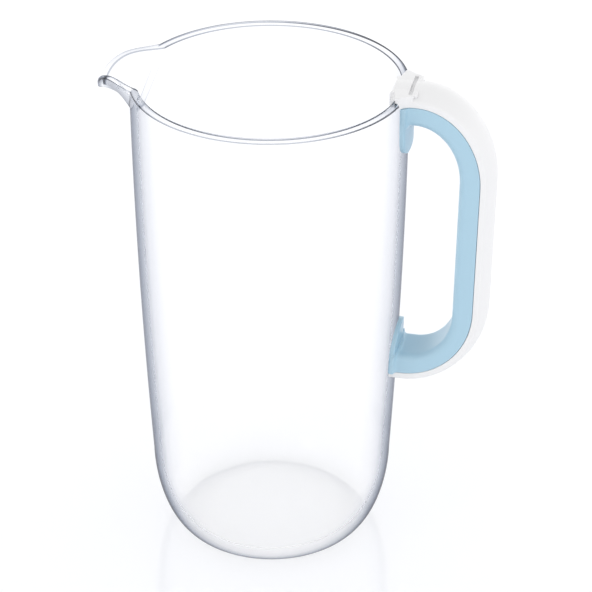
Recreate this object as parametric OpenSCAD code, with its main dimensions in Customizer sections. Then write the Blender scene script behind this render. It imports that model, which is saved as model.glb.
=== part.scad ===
// Clear round jug of a pitcher, with a pinched spout and a two-piece hollow handle.
// Millimetres. +Z is up, +X points to the handle, and the origin is the middle of the base.
// The jug is a moulded shell of revolution. The spout is a V-shaped scoop drawn out of its wall.
// The grip is a channel that two hidden screws hold against bosses on the jug, and the
// handle shell closes that channel from outside and hooks over the rim.

/* [Jug] */
// Height from the table to the top of the rim
jug_h = 262; // [235:1:285]
// Outer radius at the rim
rim_r = 70; // [66:0.5:75]
// Outer radius where the side meets the base curve
foot_r = 63.6; // [60:0.2:66]
// How far the side swells past a straight taper
side_belly = 1.5; // [0:0.1:2.5]
// Wall thickness
wall = 4; // [3:0.1:4.5]

/* [Base] */
// Outer radius of the flat ring that the jug stands on
base_r = 44.4; // [38:0.2:50]
// Height of the curve between base and side
base_curve_h = 46; // [36:1:56]
// Fullness of that curve, where 2 is an ellipse and less is flatter
base_fullness = 1.87; // [1.6:0.01:2.2]
// Thickness of the floor
floor_t = 3.4; // [2.5:0.1:5]
// Height of the hollow under the floor
push_up = 1.4; // [0.6:0.1:2.4]
// Width of the standing ring
ring_w = 6; // [4:0.5:10]

/* [Spout] */
// Half the angle of the rim that the spout takes up
spout_half = 23; // [18:0.5:27]
// How far the tip reaches past the rim's outer radius
spout_reach = 18.9; // [12:0.1:24]
// How far the pouring edge at the tip lies under the rim
spout_drop = 12.8; // [9:0.1:16]
// How far down the wall the spout's root starts
spout_depth = 26; // [20:0.5:34]
// Height of the hollow curve of the spout's underside
spout_bow = 3; // [0:0.1:4]
// Thickness of the wall at the tip
tip_wall = 2; // [1.6:0.1:2.8]

/* [Handle] */
// Distance from the rim down to the parting line on top of the handle
parting_drop = 3.4; // [3:0.1:5]
// Height of the handle, from parting line to parting line
handle_h = 153; // [140:1:165]
// How far the parting line stands out from the rim's radius
handle_reach = 39.1; // [34:0.1:46]
// How much nearer the lower end of the handle's back lies
handle_lean = 1.3; // [0:0.1:4]
// Width of the handle
handle_w = 26; // [23:0.5:30]
// Width and height of the upper bend
top_bend = [33.5, 41.3]; // [28:0.1:46]
// Width and height of the lower bend
low_bend = [35.8, 40.3]; // [28:0.1:46]

/* [Grip] */
// Depth of the grip behind the fingers
grip_d = 10.8; // [9.5:0.1:13]
// Depth of the upper arm
grip_top_d = 11; // [10:0.1:13]
// Depth of the lower arm
grip_low_d = 10.6; // [10:0.1:13]
// Width and height of the finger opening's upper corner
top_corner = [23.2, 29.6]; // [18:0.1:34]
// Width and height of the finger opening's lower corner
low_corner = [20.8, 26]; // [18:0.1:34]
// Wall of the grip's channel
grip_wall = 2.3; // [1.8:0.1:2.8]
// Radius of the grip's edges on the finger side
grip_edge = 4; // [2:0.1:5]
// Radius of the hollow between the arms and the pads
root_fillet = 2; // [1:0.1:2.2]
// Number of stiffening ribs across the channel
rib_count = 5; // [2:1:8]
// Thickness of a rib
rib_t = 1.6; // [1.2:0.1:2.4]

/* [Pads] */
// Thickness of the pads that lie on the jug
pad_t = 2.3; // [1.8:0.1:3]
// Width of the upper and the lower pad
pad_w = [30.4, 28.4]; // [27:0.2:34]
// Height of the upper pad's tip above the table
top_pad_z = 230.5; // [222:0.5:238]
// Height of the lower pad's tip above the table
low_pad_z = 130; // [126:0.5:138]

/* [Shell] */
// Height of the shell's side band
band_h = 3.2; // [2.6:0.1:4]
// How far the shell's back is crowned
crown = 3.6; // [1.5:0.1:4.5]
// Wall of the shell
shell_wall = 2; // [1.6:0.1:2.5]
// Height of the lip that drops into the grip's channel
skirt_h = 2.4; // [1.5:0.1:3]
// Half the angle of rim under the hook
hook_half = 16; // [13:0.5:19]
// Depth of the hook's inner leg below the rim
hook_depth = 9; // [6:0.5:14]
// Thickness of the hook's inner leg
hook_leg = 3; // [2.4:0.1:4]
// Thickness of the hook over the rim
hook_top = 2.6; // [2:0.1:3.4]
// Length and width of the slot behind the rim
slot = [22, 2]; // [1.6:0.1:24]
// Distance behind the rim over which the strap widens into the hook
hook_flare = 7; // [4:0.5:9]

/* [Fixing] */
// Height of the upper screw below the rim
top_screw_drop = 8; // [7.6:0.1:8.4]
// Height of the lower screw above the handle's lower parting line
low_screw_rise = 4.6; // [4.4:0.1:5]
// Radius of the bosses on the jug
boss_r = 2.9; // [2.6:0.1:3]
// Length of the bosses outside the wall
boss_len = 4.5; // [3.5:0.1:5.2]
// Core radius of the screws
screw_r = 1.4; // [1.2:0.1:1.6]
// Radius of the screws' flange
flange_r = 3.6; // [3.4:0.1:3.7]
// Clearance between pieces that are joined
gap = 0.2; // [0.15:0.05:0.3]

/* [Hidden] */
$fn = 96;

// Steps along the curved outlines
side_steps = 10;
curve_steps = 14;
bend_steps = 9;
back_steps = 4;
rim_steps = 8;
shell_w_steps = 5;
spout_steps = 12;     // on each side of the tip
scoop_steps = 6;      // from root to lip
root_bite = 1.2;      // how far inside the wall's faces the spout's own faces start
past = 12;            // how far a cut runs past what it cuts
buried = 12;          // how far a joined piece starts inside its neighbour

rim_z = jug_h - wall / 2;    // the middle of the rim's round
half_w = handle_w / 2;
parting_z = jug_h - parting_drop;
foot_z = parting_z - handle_h;
back_x = rim_r + handle_reach;

// ---------------------------------------------------------------- jug outline

// Outer radius of the side at height z
function side_r(z) =
    let (u = (jug_h - z) / (jug_h - base_curve_h))
    rim_r - (rim_r - foot_r) * u + side_belly * 4 * u * (1 - u);

// Point on the base curve, from the side (t = 0) to the standing ring (t = 90)
function base_curve(t, inset, lift) =
    let (power = 2 / base_fullness)
    [
        base_r - inset + (foot_r - base_r) * pow(cos(t), power),
        lift + (base_curve_h - lift) * (1 - pow(sin(t), power))
    ];

// The wall's outer face from height top down, moved in by inset and up by lift at the floor
function wall_points(top, inset, lift) = concat(
    [for (i = [0 : side_steps]) let (z = top - (top - base_curve_h) * i / side_steps) [side_r(z) - inset, z]],
    [for (i = [1 : curve_steps]) base_curve(90 * i / curve_steps, inset, lift)]
);

// The round of the rim between two angles, grown by grow
function rim_arc(from, to, grow) =
    let (r = wall / 2 + grow)
    [for (i = [0 : rim_steps]) let (a = from + (to - from) * i / rim_steps)
        [rim_r - wall / 2 + r * cos(a), rim_z + r * sin(a)]];

function reversed(points) = [for (i = [len(points) - 1 : -1 : 0]) points[i]];

// Everything inside the outer face, grown by grow
module jug_solid(grow = 0) {
    rotate_extrude() polygon(concat(
        [[0, rim_z]],
        rim_arc(180, 0, grow),
        wall_points(rim_z - wall, -grow, 0),
        [[0, 0]]
    ));
}

// The wall and floor, with the shallow hollow under the floor
module jug_shell() {
    floor_z = push_up + floor_t;
    hollow_r = base_r - ring_w;
    rotate_extrude() polygon(concat(
        rim_arc(180, 0, 0),
        wall_points(rim_z - wall, 0, 0),
        [[hollow_r, 0], [hollow_r - push_up, push_up], [0, push_up], [0, floor_z]],
        reversed(wall_points(rim_z - wall, wall, floor_z))
    ));
}

// ---------------------------------------------------------------------- spout

// Stations across the spout, from -1 to 1, closer together at the tip
stations = [for (i = [-spout_steps : spout_steps]) sign(i) * pow(abs(i) / spout_steps, 1.35)];

// Distance from the tip without its sharp corner
function eased(t) = (sqrt(t * t + 0.0009) - 0.03) / (sqrt(1.0009) - 0.03);

// Height of the pouring edge: a slow fall from the rim, then a nose at the tip
function lip_z(t) =
    rim_z - (spout_drop - wall / 2) * (0.55 * pow(1 - eased(t), 1.3) + 0.45 * exp(-eased(t) / 0.05));

// Height of the line where the spout leaves the wall
function root_z(t) = jug_h - wall - (spout_depth - wall) * (1 - pow(abs(t), 1.65));

// A point of the scoop: s runs from root to lip, and inner is 0 on the outer face and 1 inside
function scoop(t, s, inner) =
    let (
        r = rim_r - root_bite - inner * wall,
        tip_x = rim_r + spout_reach - inner * 1.4 * tip_wall,
        corner_x = r * cos(spout_half),
        rise = inner * tip_wall * (1 - eased(t)),
        root = [-r * cos(spout_half * t), r * sin(spout_half * t), root_z(t) + rise],
        lip = [
            -corner_x - (tip_x - corner_x) * (1 - pow(eased(t), 1.18)),
            r * sin(spout_half) * t,
            lip_z(t) + rise * 0.8
        ]
    )
    root * (1 - s) + lip * s + [0, 0, spout_bow * 4 * s * (1 - s) * (1 - abs(t))];

// Joins rings of points, all of one length, into a closed solid
module skin(rings) {
    n = len(rings[0]);
    last = len(rings) - 1;
    polyhedron(
        points = [for (ring = rings) each ring],
        faces = concat(
            [[for (j = [0 : n - 1]) j]],
            [[for (j = [n - 1 : -1 : 0]) last * n + j]],
            [for (i = [0 : last - 1], j = [0 : n - 1]) let (k = (j + 1) % n)
                [i * n + j, (i + 1) * n + j, i * n + k]],
            [for (i = [0 : last - 1], j = [0 : n - 1]) let (k = (j + 1) % n)
                [i * n + k, (i + 1) * n + j, (i + 1) * n + k]]
        )
    );
}

// A point above the root at radius r, where the spout's solids start
function spine(t, r, z) = [-r * cos(spout_half * t), r * sin(spout_half * t), z];

module spout_outside() {
    skin([for (t = stations)
        concat(
            [spine(t, rim_r - wall / 2, rim_z), spine(t, rim_r - wall / 2, root_z(t))],
            [for (i = [0 : scoop_steps]) scoop(t, i / scoop_steps, 0)],
            [lip_edge(t)]
        )
    ]);
}

// The crest of the pouring edge, a little past the middle of the wall
function lip_edge(t) =
    let (run = scoop(t, 1, 0) - scoop(t, 0.8, 0))
    (scoop(t, 1, 0) + scoop(t, 1, 1)) / 2 + run / norm(run) * tip_wall / 3;

module spout_inside() {
    skin([for (t = stations)
        let (inner = scoop(t, 1, 1), run = inner - scoop(t, 0.8, 1), beyond = inner + run / norm(run) * past)
        concat(
            [spine(t, rim_r - buried, jug_h + past), spine(t, rim_r - buried, root_z(t) + wall)],
            [for (i = [0 : scoop_steps]) scoop(t, i / scoop_steps, 1)],
            [beyond, [beyond[0], beyond[1], jug_h + 2 * past]]
        )
    ]);
}

// ---------------------------------------------------------------- fixing bosses

// Heights of the two screws
screw_z = [jug_h - top_screw_drop, foot_z + low_screw_rise];

function boss_end(z) = side_r(z) + boss_len;
function seat_x(z) = boss_end(z) + gap;
boss_blind = wall / 2;    // the pilot hole stops this far from the wall's inner face

module along_x(x, z) {
    translate([x, 0, z]) rotate([0, 90, 0]) children();
}

module bosses() {
    for (z = screw_z)
        along_x(side_r(z) - wall / 2, z) cylinder(r = boss_r, h = boss_len + wall / 2);
}

module pilot_holes() {
    for (z = screw_z)
        along_x(side_r(z) - wall + boss_blind, z) cylinder(r = screw_r + gap / 2, h = boss_len + wall);
}

module jug_body() {
    color("aliceblue", 0.4) difference() {
        union() {
            difference() {
                union() {
                    jug_shell();
                    spout_outside();
                }
                spout_inside();
            }
            bosses();
        }
        pilot_holes();
    }
}

// --------------------------------------------------------------- handle outline

// A bend is [middle x, middle z, width, height] of the parting line's quarter ellipse,
// then the same of the finger opening's
top_rec = [
    back_x - top_bend[0], parting_z - top_bend[1], top_bend[0], top_bend[1],
    back_x - grip_d - top_corner[0], parting_z - grip_top_d - top_corner[1], top_corner[0], top_corner[1]
];
low_rec = [
    back_x - handle_lean - low_bend[0], foot_z + low_bend[1], low_bend[0], low_bend[1],
    back_x - handle_lean - grip_d - low_corner[0], foot_z + grip_low_d + low_corner[1], low_corner[0], low_corner[1]
];

// Places along the handle, each [bend, angle, how far the place is moved towards the jug]
arms_in = [buried, 8, 6.5, 5, 4, 3, 2, 0];

function places(root) = concat(
    [for (d = root) [top_rec, 90, d]],
    [for (i = [1 : bend_steps]) [top_rec, 90 - 90 * i / bend_steps, 0]],
    [for (i = [1 : back_steps - 1]) [top_rec + (low_rec - top_rec) * i / back_steps, 0, 0]],
    [for (i = [0 : bend_steps - 1]) [low_rec, -90 * i / bend_steps, 0]],
    [for (i = [len(root) - 1 : -1 : 0]) [low_rec, -90, root[i]]]
);

// Point at distance n outside the parting line, and w to the side
function outside(p, n, w) =
    let (b = p[0], a = p[1])
    [b[0] + (b[2] + n) * cos(a) - p[2], w, b[1] + (b[3] + n) * sin(a)];

// Point at distance n from the finger side towards the parting line
function finger_side(p, n, w) =
    let (
        b = p[0], a = p[1],
        near = [b[4] + b[6] * cos(a) - p[2], 0, b[5] + b[7] * sin(a)],
        far = outside(p, 0, 0)
    )
    near + (far - near) / norm(far - near) * n + [0, w, 0];

// Depth of the grip at a place
function depth_at(p) = norm(outside(p, 0, 0) - finger_side(p, 0, 0));

// How much wider an arm is at distance x from the axis and height z, so that it meets its pad in a hollow
function widening(x, z) =
    let (t = max(0, min(1, 1 - (x - side_r(z) - gap - pad_t + 1.2) / root_fillet)))
    root_fillet * (1 - sqrt(1 - t * t));

// A point of the grip's outside, n from the finger side and w across, with the arm's widening
function grip_point(p, n, w) =
    let (q = finger_side(p, n, w), more = widening(q[0], q[2]), up = q[2] > (parting_z + foot_z) / 2 ? -1 : 1)
    q + [0, sign(w) * more, up * more * (1 - n / depth_at(p))];

// A channel section with round corners on the finger side
function grip_ring(p) = concat(
    [grip_point(p, depth_at(p) - gap / 2, -half_w)],
    [for (i = [0 : 3]) grip_point(p, grip_edge * (1 - sin(30 * i)), grip_edge * (1 - cos(30 * i)) - half_w)],
    [for (i = [3 : -1 : 0]) grip_point(p, grip_edge * (1 - sin(30 * i)), half_w - grip_edge * (1 - cos(30 * i)))],
    [grip_point(p, depth_at(p) - gap / 2, half_w)]
);

module grip_outside() {
    skin([for (p = places(arms_in)) grip_ring(p)]);
}

// A flat band that follows the handle, between two depths on each side of the parting line,
// and between two distances across the handle
function in_profile(p) = [p[0], p[2]];
module band(inner, outer, from, to) {
    translate([0, to, 0]) rotate([90, 0, 0]) linear_extrude(to - from)
        polygon(concat([for (p = inner) in_profile(p)], reversed([for (p = outer) in_profile(p)])));
}

module grip_channel() {
    along = places([0]);
    band(
        [for (p = along) finger_side(p, grip_wall, 0)], [for (p = along) outside(p, past / 2, 0)],
        grip_wall - half_w, half_w - grip_wall
    );
}

// Ribs across the straight back of the channel, below the shell's skirt
module ribs() {
    for (i = [0 : rib_count - 1]) {
        b = low_rec + (top_rec - low_rec) * i / (rib_count - 1);
        translate([b[4] + b[6] + grip_wall / 2, grip_wall / 2 - half_w, b[5] - rib_t / 2])
            cube([grip_d - grip_wall / 2 - skirt_h - 4 * gap, handle_w - grip_wall, rib_t]);
    }
}

// The slice of space just outside the jug, as thick as a pad
module pad_space() {
    difference() {
        jug_solid(gap + pad_t);
        translate([0, 0, -past]) cylinder(r = rim_r + past, h = foot_z + past);
        translate([0, 0, parting_z - gap / 2]) cylinder(r = rim_r + past, h = past);
    }
}

// Tongue outlines seen along the handle: w across, z up
module top_tongue() {
    w = pad_w[0] / 2;
    r = w * 0.63;
    hull() {
        translate([-w, parting_z - w / 2]) square([2 * w, w / 2]);
        for (side = [-1, 1])
            translate([side * (w - 0.5 - r), top_pad_z + r]) circle(r = r);
    }
}

module low_tongue() {
    w = pad_w[1] / 2;
    r = w * 0.76;
    hull() {
        translate([-w, foot_z]) square([2 * w, grip_low_d]);
        translate([0, low_pad_z - r]) circle(r = r);
    }
}

module pads() {
    intersection() {
        pad_space();
        rotate([90, 0, 90]) linear_extrude(rim_r + past) {
            top_tongue();
            low_tongue();
        }
    }
}

// Ways through the ends of the arms for the bosses, and flat seats for the screw heads
module screw_ways() {
    for (z = screw_z) {
        along_x(side_r(z) - wall, z) cylinder(r = boss_r + gap, h = boss_len + past);
        along_x(seat_x(z), z) cylinder(r = flange_r + gap, h = past / 2);
    }
}

module handle_grip() {
    color("lightblue") difference() {
        union() {
            difference() {
                grip_outside();
                grip_channel();
            }
            ribs();
            pads();
        }
        jug_solid(gap);
        screw_ways();
    }
}

// ------------------------------------------------------------------------ shell

// A section of the shell from low up to its crowned back, less thin
function shell_ring(p, low, thin) = concat(
    [outside(p, low, half_w)],
    [for (i = [0 : shell_w_steps]) let (u = 1 - 2 * i / shell_w_steps)
        outside(p, band_h - thin + crown * (1 - u * u), half_w * u)],
    [outside(p, low, -half_w)]
);

// The hollow under the shell's crowned back
module shell_hollow() {
    inside_w = handle_w - 2 * shell_wall;
    intersection() {
        skin([for (p = places([0])) shell_ring(p, -past / 4, shell_wall)]);
        translate([rim_r - past, -inside_w / 2, foot_z - past])
            cube([handle_reach + 2 * past, inside_w, handle_h + 2 * past]);
    }
}

// A lip that drops into the channel along each side; side is -1 or 1
module skirt(side) {
    out = side * (half_w - grip_wall - gap);
    into = side * (half_w - grip_wall - gap - 1.4);
    along = places([0]);
    band(
        [for (p = along) outside(p, -skirt_h, 0)], [for (p = along) outside(p, band_h - shell_wall / 2, 0)],
        min(out, into), max(out, into)
    );
}

// Seen from above, the strap widens into the hook in a hollow curve
module hook_plan() {
    hook_w = (rim_r - wall) * sin(hook_half);
    curve = [for (i = [0 : 6]) let (u = i / 6)
        [rim_r - 2 + hook_flare * u, half_w - 0.5 + (hook_w - half_w + 0.5) * pow(1 - u, 2)]];
    polygon(concat(
        [[0, hook_w]], curve, [[rim_r + past, half_w - 0.5], [rim_r + past, 0.5 - half_w]],
        [for (q = reversed(curve)) [q[0], -q[1]]], [[0, -hook_w]]
    ));
}

// The saddle over the rim: an upside-down U turned through the hook's angle
module hook() {
    top_z = jug_h + gap + hook_top;
    in_r = rim_r - wall - gap - hook_leg;
    out_r = rim_r + gap + band_h + shell_wall;
    round_r = hook_top / 2;
    intersection() {
        rotate([0, 0, -hook_half]) rotate_extrude(angle = 2 * hook_half) {
            translate([in_r, jug_h - hook_depth]) square([hook_leg, hook_depth + gap + hook_top - round_r]);
            translate([in_r + round_r, top_z - round_r]) circle(r = round_r);
            translate([in_r + hook_leg / 2, jug_h - hook_depth]) circle(r = hook_leg / 2);
            translate([in_r + round_r, jug_h]) square([out_r - in_r - round_r, gap + hook_top]);
            translate([rim_r - wall, parting_z + gap / 2])
                square([out_r - rim_r + wall, jug_h - parting_z + hook_top / 2]);
        }
        translate([0, 0, parting_z - past]) linear_extrude(2 * past) hook_plan();
    }
}

// A low ridge behind the slot
module slot_ridge() {
    translate([rim_r + 5.3, -slot[0] / 2, jug_h + gap + hook_top - 0.5])
        rotate([-90, 0, 0]) cylinder(r = 0.9, h = slot[0]);
}

// The slot behind the rim that a lid's tab drops into
module tab_slot() {
    translate([rim_r + 1.6, -slot[0] / 2, jug_h - hook_top])
        cube([slot[1], slot[0], past]);
}

module handle_shell() {
    color("white") difference() {
        union() {
            difference() {
                skin([for (p = places(arms_in)) shell_ring(p, gap / 2, 0)]);
                shell_hollow();
            }
            skirt(-1);
            skirt(1);
            hook();
            slot_ridge();
        }
        jug_solid(gap);
        jug_throat();
        tab_slot();
    }
}

// The jug's throat, which the strap's buried end is cut out of
module jug_throat() {
    translate([0, 0, -past])
        cylinder(r = rim_r - wall - gap - hook_leg, h = jug_h + 3 * past);
}

// ----------------------------------------------------------------------- screws

module screw(z) {
    shank = boss_len + wall - boss_blind - wall / 2;
    head_h = 2;
    along_x(seat_x(z), z) difference() {
        union() {
            cylinder(r = flange_r, h = 0.9);
            cylinder(r = flange_r * 0.75, h = head_h);
            translate([0, 0, -shank]) cylinder(r = screw_r, h = shank);
            translate([0, 0, -shank - screw_r]) cylinder(r1 = screw_r / 2, r2 = screw_r, h = screw_r);
        }
        for (turn = [0, 90])
            rotate([0, 0, turn]) translate([-0.5, -screw_r, head_h - 1]) cube([1, 2 * screw_r, 2]);
    }
}

module fixing_screws() {
    color("silver") for (z = screw_z) screw(z);
}

jug_body();
handle_grip();
handle_shell();
fixing_screws();
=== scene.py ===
# %% [markdown]
# # A clear water jug with a pinched spout and a two-piece handle
# The real object is one clear moulding, open at the top, with a hollow handle of two mouldings:
# a pale blue channel on the finger side and a white strap that closes it and hooks over the rim.
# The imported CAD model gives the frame. The jug and both handle pieces are modelled again here with
# smoother, finer surfaces, and the two screws stay as they are packed. Each piece gets the finish
# of its real material.

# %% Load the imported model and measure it
import math

import bpy
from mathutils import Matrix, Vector


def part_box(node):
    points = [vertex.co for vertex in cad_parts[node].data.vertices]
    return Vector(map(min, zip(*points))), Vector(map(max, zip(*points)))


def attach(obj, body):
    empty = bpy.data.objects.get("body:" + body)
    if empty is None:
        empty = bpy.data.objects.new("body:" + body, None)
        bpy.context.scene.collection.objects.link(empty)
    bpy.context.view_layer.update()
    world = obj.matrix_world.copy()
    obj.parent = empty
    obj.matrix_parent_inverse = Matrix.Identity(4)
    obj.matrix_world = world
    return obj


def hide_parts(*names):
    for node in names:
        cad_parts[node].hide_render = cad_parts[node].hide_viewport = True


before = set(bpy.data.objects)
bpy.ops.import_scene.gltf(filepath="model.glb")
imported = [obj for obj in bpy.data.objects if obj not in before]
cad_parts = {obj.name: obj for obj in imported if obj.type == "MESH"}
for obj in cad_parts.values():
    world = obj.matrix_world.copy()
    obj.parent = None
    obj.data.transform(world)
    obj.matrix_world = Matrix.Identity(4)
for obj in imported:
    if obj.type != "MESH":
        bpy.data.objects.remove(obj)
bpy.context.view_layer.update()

# %% [markdown]
# ## The camera
# The photograph was taken from a little right of the front and well above the rim, with a long
# lens. The place and turn below come from the ellipses of the rim and the base: their width and
# height give the distance and the height of the eye. A long lens keeps the sides nearly upright.

# %% Camera
MM = 0.001
CAMERA_PLACE = (247.0, -1099.0, 798.7)    # millimetres
CAMERA_TURN = (59.52, 0.0, 12.0)          # degrees about X, Y and Z
LENS = 152.03                             # millimetres
SENSOR = 36.0                             # millimetres wide
FARTHEST = 20.0                           # metres that the camera can see

camera_data = bpy.data.cameras.new("camera")
camera_data.lens = LENS
camera_data.sensor_width = SENSOR
camera_data.clip_end = FARTHEST
camera = bpy.data.objects.new("camera", camera_data)
camera.location = Vector(CAMERA_PLACE) * MM
camera.rotation_euler = [math.radians(a) for a in CAMERA_TURN]
bpy.context.scene.collection.objects.link(camera)
bpy.context.scene.camera = camera
print("camera", round(camera.location.length, 2), "m from the middle of the base")

# %% [markdown]
# ## Helpers for modelling
# Operators act on whatever is selected, so each piece starts from a clean selection, and faces or
# edges are then picked by a test on their place. These few helpers keep the cells below short.

# %% Selection and modelling helpers


def deselect_all():
    """Leaves nothing selected and nothing in edit mode."""
    if bpy.context.object and bpy.context.object.mode != "OBJECT":
        bpy.ops.object.mode_set(mode="OBJECT")
    bpy.ops.object.select_all(action="DESELECT")


def named(name):
    """The object that an operator has just made, under a new name."""
    piece = bpy.context.object
    piece.name = name
    piece.data.name = name
    return piece


def only(piece):
    """Makes one object the selected and active one."""
    deselect_all()
    piece.select_set(True)
    bpy.context.view_layer.objects.active = piece


def edit(piece):
    """Opens edit mode on one piece, ready to work on its vertices."""
    only(piece)
    bpy.ops.object.mode_set(mode="EDIT")
    bpy.ops.mesh.select_mode(type="VERT")


def close_edit():
    """Goes back to object mode."""
    bpy.ops.object.mode_set(mode="OBJECT")


def apply_modifier(piece, kind, **settings):
    """Adds a modifier, sets it and applies it."""
    only(piece)
    modifier = piece.modifiers.new(kind.lower(), kind)
    for key, value in settings.items():
        setattr(modifier, key, value)
    bpy.ops.object.modifier_apply(modifier=modifier.name)


def apply_place(piece):
    """Moves a piece's place, turn and size into its mesh."""
    only(piece)
    bpy.ops.object.transform_apply(location=True, rotation=True, scale=True)


def report(piece):
    """Prints how many faces a piece has and the box it fills, in millimetres."""
    low = [min(v.co[i] for v in piece.data.vertices) / MM for i in range(3)]
    high = [max(v.co[i] for v in piece.data.vertices) / MM for i in range(3)]
    print(piece.name, "faces", len(piece.data.polygons), "from", [round(x, 1) for x in low],
          "to", [round(x, 1) for x in high])


# %% [markdown]
# ## The jug's outline
# The jug is turned about the upright axis: a slow taper, a full curve at the foot, and a ring to
# stand on. The height and the rim's radius are read from the frame, and the other numbers are the
# real sizes in millimetres. Functions give the outline at any height, so every piece that lies on
# the jug can ask for the same surface.

# %% Outline of the jug
jug_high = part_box("jug_body")[1]
JUG_H = jug_high.z / MM
RIM_R = jug_high.y / MM
FOOT_R = 63.6            # radius where the side meets the foot's curve
BELLY = 1.5              # how far the side swells past a straight taper
WALL = 4.0
BASE_R = 44.4            # outer radius of the standing ring
BASE_CURVE_H = 46.0      # height of the foot's curve
FULLNESS = 1.87          # 2 is an ellipse, less is flatter
FLOOR_T = 3.4            # thickness of the floor
PUSH_UP = 1.4            # depth of the hollow under the floor
RING_W = 6.0             # width of the standing ring
RIM_Z = JUG_H - WALL / 2    # where the side ends and the round over the rim starts


def side_radius(z):
    """Outer radius of the side at a height."""
    u = (JUG_H - z) / (JUG_H - BASE_CURVE_H)
    return RIM_R - (RIM_R - FOOT_R) * u + BELLY * 4 * u * (1 - u)


def foot_point(angle, inset, lift):
    """A point on the foot's curve, from the side at 0 degrees to the standing ring at 90."""
    power = 2 / FULLNESS
    a = math.radians(angle)
    r = BASE_R - inset + (FOOT_R - BASE_R) * math.cos(a) ** power
    return r, lift + (BASE_CURVE_H - lift) * (1 - math.sin(a) ** power)


print("jug", round(JUG_H, 1), "mm high,", round(2 * RIM_R, 1), "mm across the rim")

# %% [markdown]
# ## The spout's shape
# The spout is a V-shaped scoop that is drawn out of the wall. A value t runs across it, from -1
# at one end of its mouth over 0 at the tip to 1 at the other end. At each t a nearly straight
# line rises from a root on the wall to the pouring edge, and bows up a little under the tip.

# %% Spout
SPOUT_HALF = 23.0        # half the angle of the rim that it takes up
SPOUT_REACH = 18.1       # from the rim's radius to the tip
SPOUT_DROP = 14.0        # from the rim down to the tip
SPOUT_DEPTH = 24.0       # from the rim down to the deepest point of the root
SPOUT_BOW = 3.0          # how far the lines under the tip bow up
ROOT_CURVE = 1.65        # 1 draws the root as a V, 2 as a round arch
LIP_CURVE = 1.6          # 1 draws a V from above, 2 a round spoon
LIP_FALL = 2.6           # 1 lets the lip fall evenly from the rim, more keeps the fall to the tip
LIP_RISE = 1.3           # how far each lip bows up between the tip and the rim
TIP_DIP = 0.2            # share of the drop that belongs to a small dip at the tip
TIP_DIP_REACH = 0.1      # how far that dip spreads, as a share of the spout's half width
TIP_WALL = 2.0
TIP_LEAN = 1.4           # the tip's inner edge lies this many tip walls behind its outer edge
INNER_LIFT = 0.8         # and stands this many above it
NOSE = 0.03              # rounds the tip, as a share of the spout's half width
ROOT_TOP = JUG_H - WALL  # the root's height at the ends of the mouth


def eased(t):
    """Distance from the tip, without a sharp corner at 0."""
    return (math.sqrt(t * t + NOSE * NOSE) - NOSE) / (math.sqrt(1 + NOSE * NOSE) - NOSE)


def root_height(t):
    """Height where the spout leaves the wall."""
    return ROOT_TOP - (SPOUT_DEPTH - WALL) * (1 - abs(t) ** ROOT_CURVE)


def lip_fall(e):
    """How far the pouring edge lies below the plain rim, at a distance from the tip."""
    fall = (1 - TIP_DIP) * (1 - e) ** LIP_FALL + TIP_DIP * math.exp(-e / TIP_DIP_REACH)
    return (SPOUT_DROP - WALL / 2) * fall - LIP_RISE * math.sin(math.pi * e) ** 2


def scoop(t, s, inner):
    """A point of the scoop. s runs from root to edge; inner is 0 outside and 1 inside."""
    e = eased(t)
    a = math.radians(SPOUT_HALF)
    r = RIM_R - inner * WALL
    rise = inner * TIP_WALL * (1 - e)
    corner_x = r * math.cos(a)
    tip_x = RIM_R + SPOUT_REACH - inner * TIP_LEAN * TIP_WALL
    z = root_height(t) + rise
    on_wall = r - RIM_R + side_radius(z)
    root = Vector((-on_wall * math.cos(a * t), on_wall * math.sin(a * t), z))
    edge = Vector((-corner_x - (tip_x - corner_x) * (1 - e ** LIP_CURVE), r * math.sin(a) * t,
                   RIM_Z - lip_fall(e) + INNER_LIFT * rise))
    bow = Vector((0, 0, SPOUT_BOW * 4 * s * (1 - s) * (1 - abs(t))))
    return root.lerp(edge, s) + bow


print("spout's tip at", [round(x, 1) for x in scoop(0, 1, 0)])

# %% [markdown]
# ## The clear jug
# A potter would throw this shape and then pull the spout. The mesh is made in the same order:
# half the cross-section is drawn by extruding one vertex, it is spun about the axis, and then
# the vertices in the spout's sector are moved out onto the scoop. Inside and outside are one
# closed skin, because a clear wall shows both its faces, each with its own gloss and tint.

# %% Cross-section of the wall
SIDE_STEPS = 18
FOOT_STEPS = 22
SHOULDER_STEPS = 10      # between the plain side and the spout's root
SCOOP_STEPS = 10         # between the spout's root and its edge
ROUND_STEPS = 12         # over the rim
HOLLOW_STEPS = 10        # under the floor
SHOULDER_Z = 226.0       # the spout changes nothing below this height


def wall_rows():
    """Heights of the wall's rows from the rim down to the foot's curve."""
    rows = [RIM_Z + (ROOT_TOP - RIM_Z) * i / SCOOP_STEPS for i in range(SCOOP_STEPS)]
    rows += [ROOT_TOP + (SHOULDER_Z - ROOT_TOP) * i / SHOULDER_STEPS for i in range(SHOULDER_STEPS)]
    rows += [SHOULDER_Z + (BASE_CURVE_H - SHOULDER_Z) * i / SIDE_STEPS for i in range(SIDE_STEPS)]
    return rows


def face_profile(inset, lift):
    """One face of the wall from the rim to the foot, as points (radius, height)."""
    rows = [(side_radius(z) - inset, z) for z in wall_rows()]
    rows += [foot_point(90 * i / FOOT_STEPS, inset, lift) for i in range(FOOT_STEPS + 1)]
    return rows


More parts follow.
